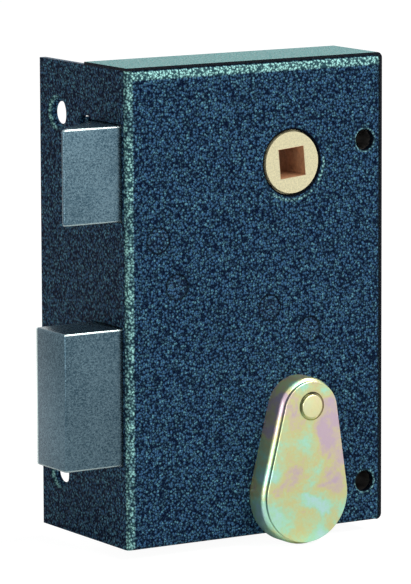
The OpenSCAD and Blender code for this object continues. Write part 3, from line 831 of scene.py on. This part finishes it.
def makeHubBrass():
    # pale cast face; the square socket is dark and rough inside
    h = hubLook
    material, tree, out = newMaterial("hubBrass")
    coord, _ = objectPlace(tree)
    turned = tree.nodes.new("ShaderNodeMapping")
    turned.inputs["Rotation"].default_value = (0, math.radians(h["turn"]), 0)
    tree.links.new(coord, turned.inputs["Vector"])
    split = tree.nodes.new("ShaderNodeSeparateXYZ")
    tree.links.new(turned.outputs[0], split.inputs[0])
    reach = largest(tree, [calc(tree, "ABSOLUTE", split.outputs[axis]) for axis in "XZ"])
    inside = stepBetween(tree, reach, *h["socketEdge"])
    grain = stepBetween(tree, noiseAt(tree, coord, h["faceScale"], 4.0, 0.65), *h["faceSpread"])
    lump = noiseAt(tree, coord, h["lumpScale"], 4.0, 0.75)
    face = blendColors(tree, grain, h["faceDark"], h["face"])
    socket = blendColors(tree, lump, h["socketDark"], h["socket"])
    shader = principled(tree, out, Metallic=h["metallic"])
    tree.links.new(blendColors(tree, inside, face, socket), shader.inputs["Base Color"])
    rough = calc(tree, "MULTIPLY_ADD", inside, h["socketRough"], h["rough"])
    tree.links.new(rough, shader.inputs["Roughness"])
    bumpInto(tree, shader, both(tree, lump, atLeast(tree, inside, h["lumpLeast"])), h["lumpDepth"])
    return material


def makePaintedPost():
    # steel inside the case, painted where the riveted end meets the front
    e, s = enamelLook, steelLook
    material, tree, out = newMaterial("paintedPost")
    coord, place = objectPlace(tree)
    paint, dots = enamelPaint(tree, coord)
    grain = placeGroup(tree, "groundGrain", coord, Along=s["turned"], Grain_Scale=s["postGrainScale"])
    steel = blendColors(tree, grain.outputs["Mask"], s["dark"], s["light"])
    painted = stepBetween(tree, place[1], *e["postPaint"])
    shader = principled(tree, out, Roughness=e["rough"])
    shader.inputs["Specular IOR Level"].default_value = e["postSpecular"]
    tree.links.new(blendColors(tree, painted, steel, paint), shader.inputs["Base Color"])
    metal = calc(tree, "MULTIPLY_ADD", painted, -s["metallic"], s["metallic"])
    tree.links.new(metal, shader.inputs["Metallic"])
    bumpInto(tree, shader, both(tree, dots, painted), e["cellDepth"])
    return material


# key rose, key cover and pin

roseSize = {
    "lowX": 0.0,
    "lowZ": -94.4 * mm,
    "lowRadius": 14.3 * mm,
    "topRadius": 9.6 * mm,
    "pitch": 24.0 * mm,
    "lean": 3.0,
    "front": -30.4 * mm,
    "back": -23.4 * mm,
    "wall": 1.0 * mm,
    "edge": 1.8 * mm,
    "pinAlong": 25.7 * mm,
    "pinRadius": 2.0 * mm,
    "keyDrop": -89.5 * mm,
    "keyRadius": 3.5 * mm,
    "slotWidth": 3.2 * mm,
    "slotLength": 11.0 * mm,
    "plateBack": -21.4 * mm,
    "tabWidth": 5.0 * mm,
    "tabThick": 1.0 * mm,
    "tabFoot": 3.4 * mm,
    "tabInset": 0.25 * mm,
    "tabBite": 0.1 * mm,
    "keyDepth": 3.0 * mm,
    "boreGap": 0.02 * mm,
    "sides": 160,
}


def leanDirection():
    a = math.radians(roseSize["lean"])
    return math.sin(a), math.cos(a)


def pinCentre():
    ux, uz = leanDirection()
    r = roseSize
    return r["lowX"] + r["pinAlong"] * ux, r["lowZ"] + r["pinAlong"] * uz


def pearDisc(name, lowRadius, topRadius, y):
    # a disc whose upper arc is shrunk and moved up: a pear with true tangents
    r = roseSize
    deselectAll()
    bpy.ops.mesh.primitive_circle_add(
        vertices=r["sides"], radius=lowRadius, fill_type="NGON",
        location=(r["lowX"], y, r["lowZ"]), rotation=(math.pi / 2, 0, 0))
    obj = named(name)
    settle(obj)
    ux, uz = leanDirection()
    reach = (lowRadius - topRadius) / r["pitch"]

    def upper(mesh, v):
        dx, dz = v.co.x - r["lowX"], v.co.z - r["lowZ"]
        return (dx * ux + dz * uz) / lowRadius > reach

    pick(obj, "VERT", upper)
    scale = topRadius / lowRadius
    bpy.ops.transform.resize(value=(scale, 1, scale), center_override=(r["lowX"], y, r["lowZ"]))
    bpy.ops.transform.translate(value=(r["pitch"] * ux, 0, r["pitch"] * uz))
    bpy.ops.object.mode_set(mode="OBJECT")
    return obj


def keyholeCutter(yFront, yBack):
    r = roseSize
    cutter = barAlongY((0, r["keyDrop"]), r["keyRadius"], yFront, yBack)
    deselectAll()
    bpy.ops.mesh.primitive_cube_add(
        size=1, location=(0, (yFront + yBack) / 2, r["keyDrop"] - r["slotLength"] / 2),
        scale=(r["slotWidth"], yBack - yFront, r["slotLength"]))
    slot = named("slot")
    settle(slot)
    applyModifier(cutter, "BOOLEAN", operation="UNION", object=slot, solver="EXACT")
    bpy.data.objects.remove(slot)
    return cutter


def bentTab(side):
    # tab that goes through the front plate and is bent inwards behind it
    r = roseSize
    yEnd = r["plateBack"] + r["tabThick"]
    yStart = r["back"] - r["tabBite"]
    x = r["lowX"] + side * (r["lowRadius"] - r["wall"] / 2 - r["tabInset"])
    deselectAll()
    bpy.ops.mesh.primitive_cube_add(
        size=1, location=(x, (yStart + yEnd) / 2, r["lowZ"]),
        scale=(r["wall"], yEnd - yStart, r["tabWidth"]))
    tab = named("roseTab")
    settle(tab)
    pick(tab, "FACE", lambda m, f: True)
    bpy.ops.mesh.bisect(plane_co=(0, r["plateBack"], 0), plane_no=(0, 1, 0))
    bpy.ops.object.mode_set(mode="OBJECT")
    pick(tab, "FACE", lambda m, f: f.normal.x * side < -0.9 and f.center.y > r["plateBack"])
    reach = -side * (r["tabFoot"] - r["wall"])
    bpy.ops.mesh.extrude_region_move(TRANSFORM_OT_translate={"value": (reach, 0, 0)})
    bpy.ops.object.mode_set(mode="OBJECT")
    outward(tab)
    return tab


def makeRose(zinc):
    r = roseSize
    rose = pearDisc("keyRose", r["lowRadius"], r["topRadius"], r["back"])
    pick(rose, "FACE", lambda m, f: True)
    bpy.ops.mesh.extrude_region_move(TRANSFORM_OT_translate={"value": (0, r["front"] - r["back"], 0)})
    bpy.ops.object.mode_set(mode="OBJECT")
    pick(rose, "EDGE", lambda m, e: all(abs(c.y - r["front"]) < 1e-6 for c in edgeEnds(m, e)))
    bpy.ops.mesh.bevel(offset=r["edge"], segments=8, affect="EDGES")
    bpy.ops.object.mode_set(mode="OBJECT")
    outward(rose)
    pick(rose, "FACE", lambda m, f: all(abs(m.vertices[i].co.y - r["back"]) < 1e-6 for i in f.vertices))
    bpy.ops.mesh.delete(type="FACE")
    bpy.ops.object.mode_set(mode="OBJECT")
    applyModifier(rose, "SOLIDIFY", thickness=r["wall"], offset=-1)
    depth = (r["front"] - clear, r["front"] + r["keyDepth"])
    cutBy(rose, keyholeCutter(*depth))
    cutBy(rose, barAlongY(pinCentre(), r["pinRadius"] + r["boreGap"], *depth))
    outward(rose)
    tabs = [bentTab(-1), bentTab(1)]
    makeActive(rose)
    for tab in tabs:
        tab.select_set(True)
    bpy.ops.object.join()
    smoothBy(rose, 40)
    rose.data.materials.clear()
    rose.data.materials.append(zinc)
    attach(rose, "case")
    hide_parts("key_rose")
    print("key rose drawn")


coverSize = {
    "inset": 0.8 * mm,
    "thick": 1.1 * mm,
    "gap": 0.1 * mm,
    "frontEdge": 0.35 * mm,
    "recessRadius": 4.1 * mm,
    "recessDepth": 0.6 * mm,
    "recessEdge": 0.5 * mm,
    "boreRadius": 2.08 * mm,
}


def makeCover(zinc):
    r, c = roseSize, coverSize
    back = r["front"] - c["gap"]
    front = back - c["thick"]
    cover = pearDisc("keyCover", r["lowRadius"] - c["inset"], r["topRadius"] - c["inset"], back)
    pick(cover, "FACE", lambda m, f: True)
    bpy.ops.mesh.extrude_region_move(TRANSFORM_OT_translate={"value": (0, front - back, 0)})
    bpy.ops.object.mode_set(mode="OBJECT")
    pick(cover, "EDGE", lambda m, e: all(abs(v.y - front) < 1e-6 for v in edgeEnds(m, e)))
    bpy.ops.mesh.bevel(offset=c["frontEdge"], segments=5, affect="EDGES")
    bpy.ops.object.mode_set(mode="OBJECT")
    outward(cover)
    pin = pinCentre()
    recess = barAlongY(pin, c["recessRadius"], front - clear, front + c["recessDepth"])
    pick(recess, "EDGE", lambda m, e: all(v.y > front for v in edgeEnds(m, e)))
    bpy.ops.mesh.bevel(offset=c["recessEdge"], segments=4, affect="EDGES")
    bpy.ops.object.mode_set(mode="OBJECT")
    cutBy(cover, recess)
    cutBy(cover, barAlongY(pin, c["boreRadius"], front - clear, back + clear))
    outward(cover)
    smoothBy(cover, 35)
    cover.data.materials.clear()
    cover.data.materials.append(zinc)
    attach(cover, "cover")
    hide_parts("key_cover")
    print("key cover cut")


pinSize = {
    "headRadius": 3.3 * mm,
    "headEdge": 0.35 * mm,
    "proud": 0.6 * mm,
    "sunk": 0.55 * mm,
    "shankRadius": 2.0 * mm,
    "tailRadius": 3.0 * mm,
    "tailFront": -21.4 * mm,
    "tailBack": -20.5 * mm,
}


def makePin(zinc):
    p, r, c = pinSize, roseSize, coverSize
    coverFront = r["front"] - c["gap"] - c["thick"]
    front = coverFront - p["proud"]
    at = pinCentre()
    pin = barAlongY(at, p["shankRadius"], coverFront + p["sunk"], p["tailBack"])
    head = barAlongY(at, p["headRadius"], front, coverFront + p["sunk"])
    pick(head, "EDGE", lambda m, e: all(abs(v.y - front) < 1e-6 for v in edgeEnds(m, e)))
    bpy.ops.mesh.bevel(offset=p["headEdge"], segments=4, affect="EDGES")
    bpy.ops.object.mode_set(mode="OBJECT")
    tail = barAlongY(at, p["tailRadius"], p["tailFront"], p["tailBack"])
    for part in (head, tail):
        applyModifier(pin, "BOOLEAN", operation="UNION", object=part, solver="EXACT")
        bpy.data.objects.remove(part)
    pin.name = "coverPin"
    outward(pin)
    smoothBy(pin, 35)
    pin.data.materials.clear()
    pin.data.materials.append(zinc)
    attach(pin, "case")
    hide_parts("cover_pin")
    print("cover pin turned")


# bolts with ground faces and broken edges

boltSize = {
    "chamfer": 0.45 * mm,
    "segments": 3,
    "socketDepth": 9.0 * mm,
    "plateThick": 3.0 * mm,
    "plateGap": 0.05 * mm,
    "rivetGap": 0.02 * mm,
    "bevelRun": 0.4 * mm,
    "tipThick": 1.2 * mm,
    "tipCorner": 1.0 * mm,
}


def blockFor(node, name):
    low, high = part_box(node)
    deselectAll()
    bpy.ops.mesh.primitive_cube_add(size=1, location=(low + high) / 2, scale=high - low)
    obj = named(name)
    settle(obj)
    return obj, low, high


def tailSocket(tailNode, low, high):
    # cutter for the slot that takes the tail plate, open at the bolt's back, top and bottom
    b = boltSize
    x = high.x - b["socketDepth"] / 2 + clear
    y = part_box(tailNode)[1].y - b["plateThick"] / 2
    deselectAll()
    bpy.ops.mesh.primitive_cube_add(
        size=1, location=(x, y, (low.z + high.z) / 2),
        scale=(b["socketDepth"] + 2 * clear, b["plateThick"] + 2 * b["plateGap"], high.z - low.z + 4 * clear))
    cutter = named("socketCutter")
    settle(cutter)
    return cutter


def rivetBores(obj, rivetNode, low, high):
    # the rivets' two bores, taken from where the rivets are
    rivetLow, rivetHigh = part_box(rivetNode)
    radius = (rivetHigh.x - rivetLow.x) / 2
    x = (rivetLow.x + rivetHigh.x) / 2
    for z in (rivetLow.z + radius, rivetHigh.z - radius):
        cutBy(obj, barAlongY((x, z), radius + boltSize["rivetGap"], low.y - clear, high.y + clear, 48))


def finishBolt(obj, steel, body, node, low, high, tailNode, rivetNode):
    cutBy(obj, tailSocket(tailNode, low, high))
    rivetBores(obj, rivetNode, low, high)
    outward(obj)
    smoothBy(obj, 40)
    obj.data.materials.clear()
    obj.data.materials.append(steel)
    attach(obj, body)
    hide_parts(node)


def makeDeadBolt(steel):
    bolt, low, high = blockFor("dead_bolt_head", "deadBolt")
    pick(bolt, "EDGE", lambda m, e: True)
    bpy.ops.mesh.bevel(offset=boltSize["chamfer"], segments=boltSize["segments"], affect="EDGES")
    bpy.ops.object.mode_set(mode="OBJECT")
    finishBolt(bolt, steel, "dead_bolt", "dead_bolt_head", low, high,
               "dead_bolt_tail", "dead_bolt_rivets")
    print("dead bolt ground")


def makeLatchBolt(steel):
    b = boltSize
    bolt, low, high = blockFor("latch_head", "latchBolt")
    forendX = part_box("case_plate")[0].x
    bevelX = forendX - b["bevelRun"]
    # an edge loop where the bevel starts, then the tip's back edge is pulled forward
    pick(bolt, "FACE", lambda m, f: True)
    bpy.ops.mesh.bisect(plane_co=(bevelX, 0, 0), plane_no=(1, 0, 0))
    bpy.ops.object.mode_set(mode="OBJECT")
    pick(bolt, "VERT", lambda m, v: v.co.x < low.x + 1e-6 and v.co.y > high.y - 1e-6)
    bpy.ops.transform.translate(value=(0, low.y + b["tipThick"] - high.y, 0))
    bpy.ops.object.mode_set(mode="OBJECT")
    # the tip's two corners are rounded first
    pick(bolt, "EDGE", lambda m, e: all(v.x < low.x + 1e-6 for v in edgeEnds(m, e))
         and abs(edgeEnds(m, e)[0].z - edgeEnds(m, e)[1].z) < 1e-6)
    bpy.ops.mesh.bevel(offset=b["tipCorner"], segments=4, affect="EDGES")
    bpy.ops.object.mode_set(mode="OBJECT")
    pick(bolt, "EDGE", lambda m, e: not all(abs(v.x - bevelX) < 1e-6 for v in edgeEnds(m, e))
         or all(v.y > high.y - 1e-6 for v in edgeEnds(m, e)))
    bpy.ops.mesh.bevel(offset=b["chamfer"], segments=b["segments"], affect="EDGES")
    bpy.ops.object.mode_set(mode="OBJECT")
    finishBolt(bolt, steel, "latch", "latch_head", low, high, "latch_tail", "latch_rivets")
    print("latch bolt ground")


def dress(material, *names):
    for name in names:
        obj = nodes[name]
        obj.data.materials.clear()
        obj.data.materials.append(material)


makeCamera()
makeStudio()
groups["hammerCells"] = makeHammerCells()
groups["groundGrain"] = makeGroundGrain()
groups["passivation"] = makePassivation()

enamel = makeEnamel()
boltSteel = makeBoltSteel("groundSteel", 1.0)
deadSteel = makeBoltSteel("deadSteel", steelLook["deadShare"], "dead_bolt_head")
latchSteel = makeBoltSteel("latchSteel", steelLook["latchShare"], "latch_head")
innerSteel = makeSteel("oiledSteel", *steelLook["oiled"], steelLook["plain"], (0.4, 0.6), 0.85)
springSteel = makeSteel("springWire", *steelLook["blued"], steelLook["drawn"], (0.25, 0.4))
zinc = makeZinc("yellowZinc", -0.30)
coverZinc = makeZinc("coverZinc", -0.30, True)
pinZinc = makeZinc("pinZinc", -0.18, plain=0.8)
print("finishes mixed")

dress(enamel, "case_plate", "back_cover")
dress(makeRimEnamel(), "rim_strip")
dress(makePaintedPost(), "spring_stop_pillar", "latch_spring_post", "detent_post", "bolt_guide_pillar")
dress(boltSteel, "latch_rivets", "dead_bolt_rivets")
dress(innerSteel, "latch_tail", "dead_bolt_tail", "screw_sleeves", "front_ward", "rear_ward")
dress(springSteel, "latch_spring", "detent_spring")
dress(zinc, "cover_screws")
dress(makeHubBrass(), "follower")
print("nodes dressed")

makeRose(zinc)
makeCover(coverZinc)
makePin(pinZinc)
makeDeadBolt(deadSteel)
makeLatchBolt(latchSteel)
